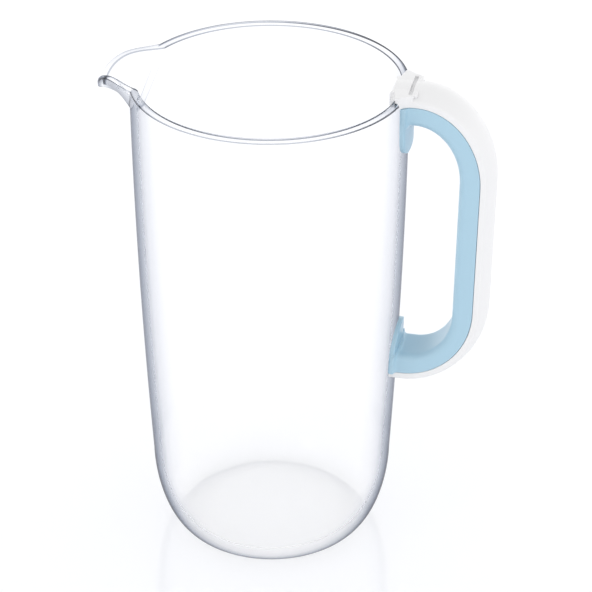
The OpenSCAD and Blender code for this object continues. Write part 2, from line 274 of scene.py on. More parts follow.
def jug_profile():
    """The whole half section, from the middle of the floor inside to the middle underneath."""
    floor_z = PUSH_UP + FLOOR_T
    hollow_r = BASE_R - RING_W
    inside = [(0, floor_z)] + face_profile(WALL, floor_z)[::-1]
    rim = []
    for i in range(1, ROUND_STEPS):
        a = math.pi * (1 - i / ROUND_STEPS)
        rim.append((RIM_R - WALL / 2 * (1 - math.cos(a)), RIM_Z + WALL / 2 * math.sin(a)))
    under = []
    for i in range(HOLLOW_STEPS + 1):
        u = i / HOLLOW_STEPS
        under.append((hollow_r * (1 - u), PUSH_UP * (0.5 - 0.5 * math.cos(math.pi * u))))
    return inside + rim + face_profile(0, 0) + under


def draw_line(name, points):
    """A chain of edges through points (x, z) in millimetres, drawn by extruding one vertex."""
    deselect_all()
    x, z = points[0]
    bpy.ops.mesh.primitive_plane_add(size=MM, location=(x * MM, 0, z * MM))
    line = named(name)
    apply_place(line)
    edit(line)
    bpy.ops.mesh.select_all(action="SELECT")
    bpy.ops.mesh.merge(type="CENTER")
    for x_next, z_next in points[1:]:
        step = ((x_next - x) * MM, 0, (z_next - z) * MM)
        bpy.ops.mesh.extrude_vertices_move(TRANSFORM_OT_translate={"value": step})
        x, z = x_next, z_next
    close_edit()
    return line


profile = jug_profile()
jug = draw_line("clear_jug", profile)
print("cross-section of", len(profile), "points")

# %% Spin it into a closed shell
COLUMNS = 360
MERGE = 1e-6             # metres

edit(jug)
bpy.ops.mesh.select_all(action="SELECT")
bpy.ops.mesh.spin(steps=COLUMNS, angle=2 * math.pi, center=(0, 0, 0), axis=(0, 0, 1))
bpy.ops.mesh.select_all(action="SELECT")
bpy.ops.mesh.remove_doubles(threshold=MERGE)
bpy.ops.mesh.normals_make_consistent(inside=False)
close_edit()
report(jug)

# %% [markdown]
# ## Reading the plain shell
# The spun shell is plain: each vertex is known by its radius, its height and its column's angle.
# The columns stand evenly, which is too coarse for the spout's tip, so they are gathered there.
# The next two steps, the tint and the spout, ask these functions where a vertex belongs.

# %% Columns and faces of the shell
CROWDING = 0.85          # 0 leaves the columns even, 1 would bring them all to the tip
TOUCH = 1e-4             # millimetres that count as touching
SAME_ROW = 1e-3          # millimetres within which a height is a row's own


def crowded(x, y):
    """The angle of a vertex's column once the columns are gathered at the spout."""
    a = math.atan2(y, x)
    return a + CROWDING * math.sin(a)


def across_spout(a):
    """Where an angle lies across the spout: 0 at the tip, -1 and 1 at the ends of the mouth."""
    return (math.pi - a if a >= 0 else -math.pi - a) / math.radians(SPOUT_HALF)


def is_outside(r, z):
    """Whether a point lies on the outer face of the rim, the side, the foot or the standing ring."""
    if z > RIM_Z:
        return r > RIM_R - WALL / 2
    if z > BASE_CURVE_H:
        return r > side_radius(z) - WALL / 2
    if z < TOUCH:
        return True
    sine = max(0.0, 1 - z / BASE_CURVE_H) ** (FULLNESS / 2)
    outer_r = foot_point(math.degrees(math.asin(sine)), 0, 0)[0]
    return r > outer_r - WALL / 2


# %% [markdown]
# ## Where painted shade darkens the clear plastic
# Clear plastic looks faintly blue-grey where the eye looks along it, and far darker where it refracts
# dark surroundings. Here that darkening is painted shade in its colour: at the sides, in a narrow band
# at the foot, on the fine edges of the rim and in the crease where the spout leaves the wall. A painted
# image could say where, but an attribute, one number at each vertex, is simpler and stays on the surface
# from every side. Two are made while the shell is plain: how much of the outer skin a vertex has, with
# painted shade added at the foot, and how much painted shade is added at the rim, the lips and the
# crease, or taken off at the foot.

# %% Painted shade at the foot
FOOT_SHADE_TOP = 70.0     # height where the painted shade at the foot starts
FOOT_SHADE_RUN = 40.0     # how far down it grows to its full
FOOT_PAINTED_SHADE = 0.5          # painted shade added to the outer skin at the foot
FOOT_LIGHTER = 0.14      # taken off the painted shade there, which keeps the band narrow


def foot_shade_share(z):
    """How far a height is down in the painted shade at the foot, from 0 to 1."""
    return min(1.0, max(0.0, (FOOT_SHADE_TOP - z) / FOOT_SHADE_RUN))


# %% Painted shade on the rim, the lips and the crease
# Each number below is painted shade added to the plastic's colour: on the rim's fine edges, over its round,
# darker towards the handle, on the lips and in the crease.
AT_SPOUT = 0.92          # a column this much towards the spout, as a cosine, is one of its own
EDGE_BAND = 0.3          # lowest share of the rim's round that counts as its edges
EDGE_INNER = 0.8
EDGE_OUTER = 0.76
EDGE_FADE = 0.4          # taken off the outer edge towards the spout
EDGE_OUTER_LIP = 0.3     # the outer edge on the spout's lips
ROUND = 0.22             # over the top of the round
ROUND_HANDLE = 0.12      # painted shade added towards the handle
ROUND_SPOUT = 0.3        # painted shade added to the inner half towards the spout
LIP_ROUND = 0.1          # over the top of the lips
LIP_INNER = 0.42         # added to their inner half, away from the tip
LIP_CLEAR = 0.12         # how near the tip that fades out, as a sine
CREASE_OUTER = 0.15
CREASE_INNER = 0.45


def rim_edge_painted_shade(outer, to_spout):
    """How much painted shade lies on the two fine edges of the rim."""
    if not outer:
        return EDGE_INNER
    return EDGE_OUTER_LIP if to_spout > AT_SPOUT else EDGE_OUTER - EDGE_FADE * to_spout


def rim_top_painted_shade(outer, to_spout, to_handle, a):
    """How much painted shade lies over the top of the rim."""
    if to_spout > AT_SPOUT:
        return LIP_ROUND if outer else LIP_ROUND + LIP_INNER * min(1.0, abs(math.sin(a)) / LIP_CLEAR)
    return ROUND + ROUND_HANDLE * to_handle ** 3 + (0.0 if outer else ROUND_SPOUT * to_spout ** 2)


def painted_shade_at(r, z, a):
    """How much painted shade is added at a point of the plain shell."""
    outer = is_outside(r, z)
    if abs(across_spout(a)) < 1 and abs(z - ROOT_TOP) < SAME_ROW:
        return CREASE_OUTER if outer else CREASE_INNER
    if z < RIM_Z - SAME_ROW:
        return -FOOT_LIGHTER * foot_shade_share(z) if outer else 0.0
    to_handle, to_spout = max(0.0, math.cos(a)), max(0.0, -math.cos(a))
    if z < RIM_Z + EDGE_BAND * WALL / 2:
        return rim_edge_painted_shade(outer, to_spout)
    return rim_top_painted_shade(outer, to_spout, to_handle, a)


# %% Mark every vertex
outer_skin_and_foot_shade = jug.data.attributes.new("outer_skin_and_foot_shade", "FLOAT", "POINT")
added_painted_shade = jug.data.attributes.new("added_painted_shade", "FLOAT", "POINT")
# The first attribute marks the outer skin and adds painted shade at the foot; the second holds the painted
# shade at the rim, the lips, the crease and the foot.
for vertex in jug.data.vertices:
    x, y, z = vertex.co / MM
    r = math.hypot(x, y)
    outer_skin_and_foot_shade.data[vertex.index].value = 1.0 + FOOT_PAINTED_SHADE * foot_shade_share(z) if is_outside(r, z) else 0.0
    added_painted_shade.data[vertex.index].value = painted_shade_at(r, z, crowded(x, y))
# The deepest colour printed here is the strongest painted shade.
print("outer skin on", sum(mark.value > 0 for mark in outer_skin_and_foot_shade.data), "of", len(outer_skin_and_foot_shade.data),
      "vertices, deepest colour", round(max(mark.value for mark in added_painted_shade.data), 2))

# %% [markdown]
# ## Drawing the spout out of the wall
# On the real jug the mould forms the spout. Here each vertex of the plain shell in its sector is
# moved to its place: the rows above the root onto the scoop, those on the rim onto a round that
# closes its edge, and those below the root up or down with it. Sculpting would be looser, and
# joining a separate spout would leave a seam in the clear wall.

# %% Draw the spout
BELOW_EDGE = 0.8         # a place just below the edge, which gives the direction of the lip


def on_rim_round(t, angle):
    """A point on the round that closes the spout's edge, from outside (0) over to inside."""
    outer, inner = scoop(t, 1, 0), scoop(t, 1, 1)
    run = (outer + inner - scoop(t, BELOW_EDGE, 0) - scoop(t, BELOW_EDGE, 1)).normalized()
    half = (outer - inner) / 2
    return (outer + inner) / 2 + half * math.cos(angle) + run * half.length * math.sin(angle)


def spout_place(t, r, z):
    """Where a point of the plain wall goes, t across the spout."""
    if z > RIM_Z + TOUCH:
        return on_rim_round(t, math.atan2(z - RIM_Z, r - (RIM_R - WALL / 2)))
    inner = 1 if r < side_radius(z) - WALL / 2 else 0
    if z > ROOT_TOP:
        return scoop(t, (z - ROOT_TOP) / (RIM_Z - ROOT_TOP), inner)
    u = (z - SHOULDER_Z) / (ROOT_TOP - SHOULDER_Z)
    root = scoop(t, 0, inner)
    new_z = SHOULDER_Z + u * (root.z - SHOULDER_Z)
    new_r = side_radius(new_z) - inner * WALL
    a = math.radians(SPOUT_HALF * t)
    return Vector((-new_r * math.cos(a), new_r * math.sin(a), new_z))


for vertex in jug.data.vertices:
    x, y, z = vertex.co / MM
    r, a = math.hypot(x, y), crowded(x, y)
    t = across_spout(a)
    place = Vector((r * math.cos(a), r * math.sin(a), z))
    if abs(t) < 1 and z > SHOULDER_Z:
        place = spout_place(t, r, z)
    vertex.co = place * MM
jug.data.update()
report(jug)

# %% [markdown]
# ## The jug's polished skin
# The real skin has no facets. More faces would hide them too, but smooth shading does it for
# nothing, and edges past an angle stay sharp, so the standing ring keeps its line. The jug then
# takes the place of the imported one.

# %% Finish the jug's surface
JUG_CREASE = 30          # degrees past which an edge stays sharp

only(jug)
bpy.ops.object.shade_smooth_by_angle(angle=math.radians(JUG_CREASE))
print(jug.name, "is smooth up to edges of", JUG_CREASE, "degrees")

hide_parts("jug_body")
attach(jug, "root")

# %% [markdown]
# ## The handle's path
# The handle is a flat loop. Two lines run along it: the parting line between the blue and the
# white piece, and the finger side. Each turns through two quarter ellipses with a straight back
# between them. A place along the handle is one bend, an angle on it, and a shift towards the jug.
# From a place, any point of either piece is found by its distance across the section.

# %% Path of the handle
# A bend is the middle (x, z), width and height of its ellipse, first of the parting line's and
# then of the finger side's.
TOP_BEND = (75.6, 217.3, 33.5, 41.3, 75.1, 218.0, 23.2, 29.6)
LOW_BEND = (72.0, 145.9, 35.8, 40.3, 76.2, 142.2, 20.8, 26.0)
BEND_STEPS = 26
BACK_STEPS = 8
HALF_W = 13.0            # half the handle's width
GAP = 0.2                # between two pieces
PAD_T = 2.3              # thickness of the pads


def places(root):
    """Places from the upper arm's root round to the lower arm's root."""
    path = [(TOP_BEND, 90.0, d) for d in root]
    path += [(TOP_BEND, 90.0 - 90.0 * i / BEND_STEPS, 0.0) for i in range(1, BEND_STEPS + 1)]
    for i in range(1, BACK_STEPS):
        between = tuple(a + (b - a) * i / BACK_STEPS for a, b in zip(TOP_BEND, LOW_BEND))
        path.append((between, 0.0, 0.0))
    path += [(LOW_BEND, -90.0 * i / BEND_STEPS, 0.0) for i in range(BEND_STEPS + 1)]
    return path + [(LOW_BEND, -90.0, d) for d in root[-2::-1]]


def outside(place, n, w):
    """A point at distance n outside the parting line, w across."""
    (mx, mz, width, height), a = place[0][:4], math.radians(place[1])
    return Vector((mx + (width + n) * math.cos(a) - place[2], w, mz + (height + n) * math.sin(a)))


def finger_side(place, n, w):
    """A point at depth n behind the finger side, w across."""
    (mx, mz, width, height), a = place[0][4:], math.radians(place[1])
    near = Vector((mx + width * math.cos(a) - place[2], 0, mz + height * math.sin(a)))
    into = (outside(place, 0, 0) - near).normalized()
    return near + into * n + Vector((0, w, 0))


def depth(place):
    """How thick the grip is at a place, from its finger side to the parting line."""
    return (outside(place, 0, 0) - finger_side(place, 0, 0)).length


def on_jug(w, z, off):
    """How far from the axis plane the jug's outside lies at w and z, grown by off."""
    r = side_radius(z) + off
    return math.sqrt(r * r - w * w)


print("grip", round(depth(places([0.0])[BEND_STEPS]), 1), "mm thick at the top of its back")

# %% [markdown]
# ## Lofting
# Both handle pieces are tubes whose section changes along a path. Extruding and scaling one
# section again and again would do it, but a flat grid already has the right faces: its points are
# moved onto the rings, its two long sides are merged, and its two ends are filled.

# %% Helpers for lofts


def loft(name, rings):
    """A closed tube through rings of points: a flat sheet is bent to the rings and sewn up."""
    deselect_all()
    bpy.ops.mesh.primitive_grid_add(x_subdivisions=len(rings[0]), y_subdivisions=len(rings) - 1,
                                    size=1)
    tube = named(name)
    rows = [ring + ring[:1] for ring in rings]
    for vertex, point in zip(tube.data.vertices, [p for row in rows for p in row]):
        vertex.co = Vector(point) * MM
    edit(tube)
    bpy.ops.mesh.select_all(action="SELECT")
    bpy.ops.mesh.remove_doubles(threshold=MERGE)
    bpy.ops.mesh.fill_holes(sides=0)
    bpy.ops.mesh.normals_make_consistent(inside=False)
    close_edit()
    return tube


def arc(middle, radius, start, end, steps):
    """Points on an arc in a plane, from one angle in degrees to another."""
    angles = [math.radians(start + (end - start) * i / steps) for i in range(steps + 1)]
    return [(middle[0] + radius * math.cos(a), middle[1] + radius * math.sin(a)) for a in angles]


# %% [markdown]
# ## The blue grip
# A U-shaped channel runs along the handle, open to the outside, with its finger side rounded for
# the hand. Close to the jug the arms swell in a hollow curve until they run into the pads. A curve
# with a bevel could make an even channel, but this one changes its depth all the way, so it is
# lofted: its section is worked out at each place and the rings are joined.

# %% Section of the grip
GRIP_EDGE = 4.6          # radius of the edges on the finger side
GRIP_WALL = 2.3
ARM_FILLET = 2.6         # radius of the hollow between arm and pad
PARTING_EDGE = 0.35      # radius of the edge along the parting line
PARTING_BAND = 1.0       # this near the parting line an arm swells only sideways
ON_FLAT = (0.66, 0.33)   # extra points along a flat of the section
GRIP_ROOT = [11.0, 8.5, 7.5, 6.8, 6.2, 5.7, 5.2, 4.7, 4.2, 3.7, 3.2, 2.7, 2.2, 1.6, 0.8, 0.0]


def grip_outline(deep):
    """The outside of the section as (n, w) from one parting edge round to the other."""
    top = deep - GAP / 2
    half = [(top, PARTING_EDGE - HALF_W)]
    half += arc((top - PARTING_EDGE, PARTING_EDGE - HALF_W), PARTING_EDGE, 0, -90, steps=3)[1:]
    half += [(GRIP_EDGE + (top - PARTING_EDGE - GRIP_EDGE) * u, -HALF_W) for u in ON_FLAT]
    half += arc((GRIP_EDGE, GRIP_EDGE - HALF_W), GRIP_EDGE, 270, 180, steps=9)
    half += [(0.0, (GRIP_EDGE - HALF_W) * u) for u in ON_FLAT]
    return half + [(n, -w) for n, w in reversed(half)]


def swell(x, w, z):
    """How far an arm has grown where it comes close to its pad."""
    t = 1 - (x - on_jug(w, z, GAP + PAD_T)) / ARM_FILLET
    t = min(1.0, max(0.0, t))
    return ARM_FILLET * (1 - math.sqrt(1 - t * t))


def grip_ring(place):
    """The grip's section at a place: outside from one edge to the other, then inside."""
    deep = depth(place)
    outline = grip_outline(deep)
    count = len(outline)
    ring = []
    for i, (n, w) in enumerate(outline):
        point = finger_side(place, n, w)
        if place[2] > 0:
            before, after = outline[max(i - 1, 0)], outline[min(i + 1, count - 1)]
            run = Vector((after[0] - before[0], after[1] - before[1])).normalized()
            grow = swell(point.x, w, point.z)
            if n < deep - PARTING_BAND:
                point = finger_side(place, n - grow * run.y, w + grow * run.x)
            else:
                point = finger_side(place, n, w + math.copysign(grow, w))
        ring.append(point)
    inner_w = HALF_W - GRIP_WALL
    inner = [(deep - GAP / 2, inner_w), (GRIP_WALL, inner_w)]
    inner += [(n, -w) for n, w in reversed(inner)]
    return ring + [finger_side(place, n, w) for n, w in inner]


# %% Loft the grip and cut it back to the jug
BLOCK_ROWS = 30
BLOCK_SIDES = 180
ARM_OFF = 0.9            # how far off the jug the arms end, inside the pads
BELOW_ARMS = 90.0        # heights between which both arms are cut back
ABOVE_ARMS = 262.0


def jug_block(name, grow, low, high):
    """The space inside the jug's outside, grown by grow, between two heights."""
    turns = [2 * math.pi * k / BLOCK_SIDES for k in range(BLOCK_SIDES)]
    rings = []
    for i in range(BLOCK_ROWS + 1):
        z = low + (high - low) * i / BLOCK_ROWS
        r = side_radius(z) + grow
        rings.append([(r * math.cos(a), r * math.sin(a), z) for a in turns])
    return loft(name, rings)


def combine(piece, other, operation):
    """Joins another solid to a piece, or cuts it out of the piece, and removes the other."""
    apply_modifier(piece, "BOOLEAN", object=other, operation=operation, solver="EXACT")
    bpy.data.objects.remove(other)


grip = loft("pale_blue_grip", [grip_ring(place) for place in places(GRIP_ROOT)])
combine(grip, jug_block("jug_block", GAP + ARM_OFF, BELOW_ARMS, ABOVE_ARMS), "DIFFERENCE")
report(grip)

# %% [markdown]
# ## The pads
# Each arm ends in a pad, a tongue that lies on the jug's tapering side and spreads the pull over
# it. It could be a bevelled block that is bent onto the jug, but a bend follows a cylinder and not
# a taper. So it is lofted in level slices on the jug's own surface, each as wide as the tongue is
# at that height, and it thins to a soft edge.

# %% Slices of a pad
PAD_EDGE = 0.8           # how far in from its outline a pad is thinner
EDGE_SHARE = 0.9         # most of a slice's thickness that its edge may take
PAD_STEPS = 30
FIRST_SLICE = 0.15       # distance of the first slice from the tip
TO_TIP = 1.8             # 1 spaces the slices evenly, more gathers them at the tip
ON_FRONT = (0.8, 0.6, 0.4, 0.2, 0.0)
ON_BACK = (1.0, 0.75, 0.5, 0.25, 0.0, -0.25, -0.5, -0.75, -1.0)


def tongue_slice(z, half, thick):
    """A closed ring round a pad at one height."""
    soft = min(PAD_EDGE, thick * EDGE_SHARE)
    front = arc((thick - soft, soft - half), soft, 270, 360, steps=4)
    front += [(thick, (soft - half) * u) for u in ON_FRONT]
    front += [(n, -w) for n, w in reversed(front[:-1])]
    back = [(0.0, half * u) for u in ON_BACK]
    return [Vector((on_jug(w, z, GAP + n), w, z)) for n, w in front + back]


def pad(name, tip, end, half_width):
    """A pad from its tip to its end; half_width gives its half width at a distance from the tip."""
    slices = []
    for i in range(PAD_STEPS + 1):
        d = FIRST_SLICE + (abs(end - tip) - FIRST_SLICE) * (i / PAD_STEPS) ** TO_TIP
        thin = min(1.0, d / PAD_EDGE)
        thick = PAD_T - PAD_EDGE + PAD_EDGE * math.sqrt(1 - (1 - thin) ** 2)
        slices.append(tongue_slice(tip + math.copysign(d, end - tip), half_width(d), thick))
    return loft(name, slices)


# %% Both pads
PARTING_Z = TOP_BEND[1] + TOP_BEND[3]
FOOT_Z = LOW_BEND[1] - LOW_BEND[3]
UPPER_TIP = 230.8        # height of the upper pad's lower end
UPPER_FLAT = 5.2         # half the width between its two corners
UPPER_CORNER = 9.5       # their radius
UPPER_GROWTH = 0.5       # how much wider it gets on each side above them
UPPER_GROWTH_RUN = 8     # and over what height
LOWER_TIP = 130.0        # height of the lower pad's upper end
LOWER_HALF = 14.2        # half its width below its round end
LOWER_ROUND = 15.5       # height of that round end


def upper_half_width(d):
    """Half width of the upper pad: two round corners, then nearly upright sides."""
    if d >= UPPER_CORNER:
        growth = UPPER_GROWTH * min(1.0, (d - UPPER_CORNER) / UPPER_GROWTH_RUN)
        return UPPER_FLAT + UPPER_CORNER + growth
    return UPPER_FLAT + math.sqrt(UPPER_CORNER ** 2 - (UPPER_CORNER - d) ** 2)


def lower_half_width(d):
    """Half width of the lower pad: half an ellipse, then upright sides."""
    return LOWER_HALF * math.sqrt(1 - (1 - min(d, LOWER_ROUND) / LOWER_ROUND) ** 2)


upper_pad = pad("upper_pad", UPPER_TIP, PARTING_Z - GAP / 2, upper_half_width)
lower_pad = pad("lower_pad", LOWER_TIP, FOOT_Z, lower_half_width)
report(upper_pad)
report(lower_pad)

# %% [markdown]
# ## One blue moulding with two ways for its bosses
# The arms and the pads are one moulding, so they are joined into one skin. Behind each arm a boss
# on the jug comes through the pad to take a screw. The handle hides both bosses, so only their
# ways through the pads are made here.

# %% Join the pads and cut the ways
TOP_SCREW_Z = JUG_H - 8.0
LOW_SCREW_Z = FOOT_Z + 4.6
BOSS_R = 2.9
WAY_START = 55.0         # from inside the jug
WAY_PAST = 6.5           # to this far outside its side


def solid_between(name, radius, x_from, x_to, z):
    """A round bar along X."""
    deselect_all()
    bpy.ops.mesh.primitive_cylinder_add(vertices=48, radius=radius * MM, depth=(x_to - x_from) * MM,
                                        location=((x_from + x_to) / 2 * MM, 0, z * MM),
                                        rotation=(0, math.pi / 2, 0))
    bar = named(name)
    apply_place(bar)
    return bar


combine(grip, upper_pad, "UNION")
combine(grip, lower_pad, "UNION")
for z in (TOP_SCREW_Z, LOW_SCREW_Z):
    way = solid_between("boss_way", BOSS_R + GAP, WAY_START, side_radius(z) + WAY_PAST, z)
    combine(grip, way, "DIFFERENCE")
report(grip)

# %% [markdown]
# ## The white shell
# A thin strap closes the channel from outside. Its side bands stand in line with the grip, and its
# back is crowned between them. At the top it widens and hooks over the rim of the jug. A solidified
# sheet could give the wall, but its crown and its bands differ in thickness, so the strap is
# lofted along the same path as the grip, with an outside and an inside of its own.

# %% Strap
BAND_H = 3.2             # height of the side bands
BAND_EDGE = 0.5          # radius of their outer edge
BAND_MIDDLE = 0.55       # share of the height where an extra point lies
BAND_TOP = 0.7           # how far below the band's height its flat side ends
CROWN = 3.6              # how far the back rises between the bands
CROWN_HALF = 12.4        # half the width of the crowned back
CROWN_STEPS = 12
SHELL_WALL = 2.0
SHELL_ROOT = [12.0, 9.0, 7.0, 5.0, 3.0, 1.5, 0.0]


def crowned(w, low):
    """Height of the crowned back at w, over its edges' height."""
    return low + CROWN * (1 - (w / HALF_W) ** 2)


def shell_ring(place):
    """The strap's section at a place: outside from one edge over the back to the other, then inside."""
    ring = [(GAP / 2, PARTING_EDGE - HALF_W)]
    ring += arc((GAP / 2 + PARTING_EDGE, PARTING_EDGE - HALF_W), PARTING_EDGE, 180, 270, steps=3)[1:]
    ring += [(BAND_H * BAND_MIDDLE, -HALF_W), (BAND_H - BAND_TOP, -HALF_W)]
    ring += arc((BAND_H - BAND_EDGE, BAND_EDGE - HALF_W), BAND_EDGE, 270, 325, steps=3)
    across = [-CROWN_HALF + CROWN_HALF * i / CROWN_STEPS for i in range(CROWN_STEPS + 1)]
    ring += [(crowned(w, BAND_H), w) for w in across]
    ring += [(n, -w) for n, w in reversed(ring[:-1])]
    inner_w = HALF_W - SHELL_WALL
    back = [inner_w - 2 * inner_w * i / CROWN_STEPS for i in range(CROWN_STEPS + 1)]
    ring += [(GAP / 2, inner_w)]
    ring += [(crowned(w, BAND_H - SHELL_WALL), w) for w in back]
    ring += [(GAP / 2, -inner_w)]
    return [outside(place, n, w) for n, w in ring]


shell = loft("white_handle_shell", [shell_ring(place) for place in places(SHELL_ROOT)])
report(shell)

# %% [markdown]
# ## The hook over the rim
# The strap ends in a hook that holds the handle on the rim. Seen from the side it is an
# upside-down U, and seen from above it widens from the strap in a hollow curve. Two plain solids
# give both: the U is turned about the jug's axis, and a block with the outline from above is laid
# over it. What they share is the hook, and a bevel takes off its edges.

# %% Section of the hook, turned about the jug
HOOK_HALF = 14.5         # half the angle of rim under it
HOOK_STEPS = 12          # columns on each side of its middle
HOOK_LEG = 3.0           # thickness of the leg at the rim
HOOK_TOP = 2.6           # thickness over the rim
HOOK_DEPTH = 6.0         # from the rim down to the end of the leg
LEG_EDGE = 1.4           # radius of the leg's inner lower edge
LEG_BLOCK = 5            # its thickness before the rim is cut out of it
HOOK_IN = RIM_R - WALL - GAP - HOOK_LEG
HOOK_OUT = RIM_R + GAP + BAND_H + SHELL_WALL


def hook_section():
    """The U as points (radius, height), once round."""
    low, top, under = JUG_H - HOOK_DEPTH, JUG_H + GAP + HOOK_TOP, PARTING_Z + GAP
    leg = [(HOOK_IN + LEG_BLOCK, low)]
    leg += arc((HOOK_IN + LEG_EDGE, low + LEG_EDGE), LEG_EDGE, 270, 180, steps=5)
    edge = arc((HOOK_IN + HOOK_TOP / 2, top - HOOK_TOP / 2), HOOK_TOP / 2, 180, 90, steps=6)
    return leg + edge + [(HOOK_OUT, top), (HOOK_OUT, under), (HOOK_IN + LEG_BLOCK, under)]


def turned_about_jug(point, angle):
    """A point (radius, height) at an angle in degrees about the jug's axis."""
    a = math.radians(angle)
    return Vector((point[0] * math.cos(a), point[0] * math.sin(a), point[1]))


section = hook_section()
hook_turns = [HOOK_HALF * (i / HOOK_STEPS - 1) for i in range(2 * HOOK_STEPS + 1)]
hook = loft("hook", [[turned_about_jug(p, angle) for p in section] for angle in hook_turns])
report(hook)

# %% Outline of the hook from above
LEG_HALF = 9.0           # half the width of the leg inside the rim
LEG_ENDS = 1.4           # the leg keeps its width to this far inside the wall
HOOK_STARTS = 0.2        # and this far into the wall the hook has its own
HOOK_FLARE = 7.0         # length of the hollow curve to the strap's width
FLARE_IN = 2             # how far inside the rim's radius it starts
FLARE_STEPS = 12
STRAP_INSET = 0.3        # how far inside the strap's sides it ends
PLAN_START = 50.0        # the outline runs between these distances from the axis
PLAN_END = 85.0
PLAN_SPARE = 10          # how far the block reaches past the hook, down and up
HOOK_EDGE = 0.5          # radius of the hook's edges
HOOK_CREASE = 50         # degrees past which an edge gets it

hook_w = (RIM_R - WALL) * math.sin(math.radians(HOOK_HALF))
plan = [(PLAN_START, LEG_HALF), (RIM_R - WALL - LEG_ENDS, LEG_HALF)]
plan.append((RIM_R - WALL + HOOK_STARTS, hook_w))
for i in range(FLARE_STEPS + 1):
    u = i / FLARE_STEPS
    half = HALF_W - STRAP_INSET + (hook_w - HALF_W + STRAP_INSET) * (1 - u) ** 2
    plan.append((RIM_R - FLARE_IN + HOOK_FLARE * u, half))
plan.append((PLAN_END, HALF_W - STRAP_INSET))
low_z, high_z = PARTING_Z - PLAN_SPARE, JUG_H + PLAN_SPARE
outline = loft("hook_outline", [[(x, -w, low_z), (x, w, low_z), (x, w, high_z), (x, -w, high_z)]
                                for x, w in plan])
combine(hook, outline, "INTERSECT")
apply_modifier(hook, "BEVEL", width=HOOK_EDGE * MM, segments=3, limit_method="ANGLE",
               angle_limit=math.radians(HOOK_CREASE))
report(hook)

# %% [markdown]
# ## Fitting the shell to the jug
# Strap and hook are one moulding that closes round the rim with a small gap. They are joined, and
# then three shapes are cut out: the jug's wall at the rim, the throat inside the hook's leg, and
# the jug's side behind the lower arm. Cutting with the jug's own functions keeps the gap even.

# %% Join the hook and cut the jug out of the shell
RIM_CUT_Z = 240.0        # the rim is cut out from this height up
RIM_TURN = 3.0           # degrees between the columns of that cut
RIM_TURNS = 12           # on each side of its middle
THROAT = (250.0, 280.0)  # heights between which the space inside the leg is cleared
LOWER_ARM = (BELOW_ARMS, 150.0)    # heights between which the lower arm is cut back


def rim_section():
    """The jug's wall near the rim, with the gap round it."""
    over = arc((RIM_R - WALL / 2, RIM_Z), WALL / 2 + GAP, 0, 180, steps=24)
    low_r = side_radius(RIM_CUT_Z)
    return over + [(low_r - WALL - GAP, RIM_CUT_Z), (low_r + GAP, RIM_CUT_Z)]


combine(shell, hook, "UNION")
section = rim_section()
rim_turns = [RIM_TURN * i for i in range(-RIM_TURNS, RIM_TURNS + 1)]
rim = loft("rim", [[turned_about_jug(p, angle) for p in section] for angle in rim_turns])
combine(shell, rim, "DIFFERENCE")
combine(shell, jug_block("throat", HOOK_IN - RIM_R, *THROAT), "DIFFERENCE")
combine(shell, jug_block("jug_block", GAP, *LOWER_ARM), "DIFFERENCE")
report(shell)

# %% [markdown]
# ## The slot and the ridge behind the rim
# A shallow slot and a low ridge run across the root of the strap. A block cuts the slot. The ridge
# is a round bar that is sunk for the most part into the shell, so that only its back stands out.

# %% Slot and ridge
SLOT_L = 22.0
SLOT_W = 2.0
SLOT_DEPTH = 1.3
SLOT_OFF = 1.6           # from the rim's radius to the slot
SLOT_PAST = 12           # how far above the rim the cutting block ends
RIDGE_R = 0.9
RIDGE_OFF = 5.3          # from the rim's radius to the middle of the ridge
RIDGE_SINK = 0.7         # how far its middle lies below the hook's top


def block(name, low, high):
    """A box between two corners in millimetres."""
    deselect_all()
    middle = [(a + b) / 2 * MM for a, b in zip(low, high)]
    bpy.ops.mesh.primitive_cube_add(size=1, location=middle)
    box = named(name)
    box.scale = [(b - a) * MM for a, b in zip(low, high)]
    apply_place(box)
    return box


hook_z = JUG_H + GAP + HOOK_TOP
slot_x = RIM_R + SLOT_OFF
slot = block("slot", (slot_x, -SLOT_L / 2, hook_z - SLOT_DEPTH),
             (slot_x + SLOT_W, SLOT_L / 2, JUG_H + SLOT_PAST))
combine(shell, slot, "DIFFERENCE")
deselect_all()
bpy.ops.mesh.primitive_cylinder_add(vertices=32, radius=RIDGE_R * MM, depth=SLOT_L * MM,
                                    location=((RIM_R + RIDGE_OFF) * MM, 0, (hook_z - RIDGE_SINK) * MM),
                                    rotation=(math.pi / 2, 0, 0))
ridge = named("ridge")
apply_place(ridge)
combine(shell, ridge, "UNION")
report(shell)

# %% [markdown]
# ## The handle's moulded skin
# The two mouldings are shaded smooth as the jug is. Their rounded edges are made of few faces, so
# the angle is wider here, and the parting line and the slot still stay sharp.

# %% Finish both handle pieces
HANDLE_CREASE = 38       # degrees past which an edge stays sharp

for piece, node, slot_name in ((grip, "handle_grip", "blue_grip"), (shell, "handle_shell", "white_shell")):
    only(piece)
    bpy.ops.object.shade_smooth_by_angle(angle=math.radians(HANDLE_CREASE))
    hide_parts(node)
    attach(piece, "root")
    print(piece.name, "stands for", node)

# %% [markdown]
# ## Materials
# One function turns a colour from the hex code that a colour picker shows into the linear values
# that the renderer needs. Another adds one node with its settings and links. Every finish below
# is then a short list of nodes that ends with the output.

# %% Material helpers


def linear(hex_code):
    """An sRGB hex colour as linear red, green, blue and alpha."""
    parts = [int(hex_code[i:i + 2], 16) / 255 for i in (0, 2, 4)]
    return [c / 12.92 if c <= 0.04045 else ((c + 0.055) / 1.055) ** 2.4 for c in parts] + [1.0]


def new_material(name):
    """A material with no nodes yet."""
    material = bpy.data.materials.new(name)
    material.use_nodes = True
    material.node_tree.nodes.clear()
    return material


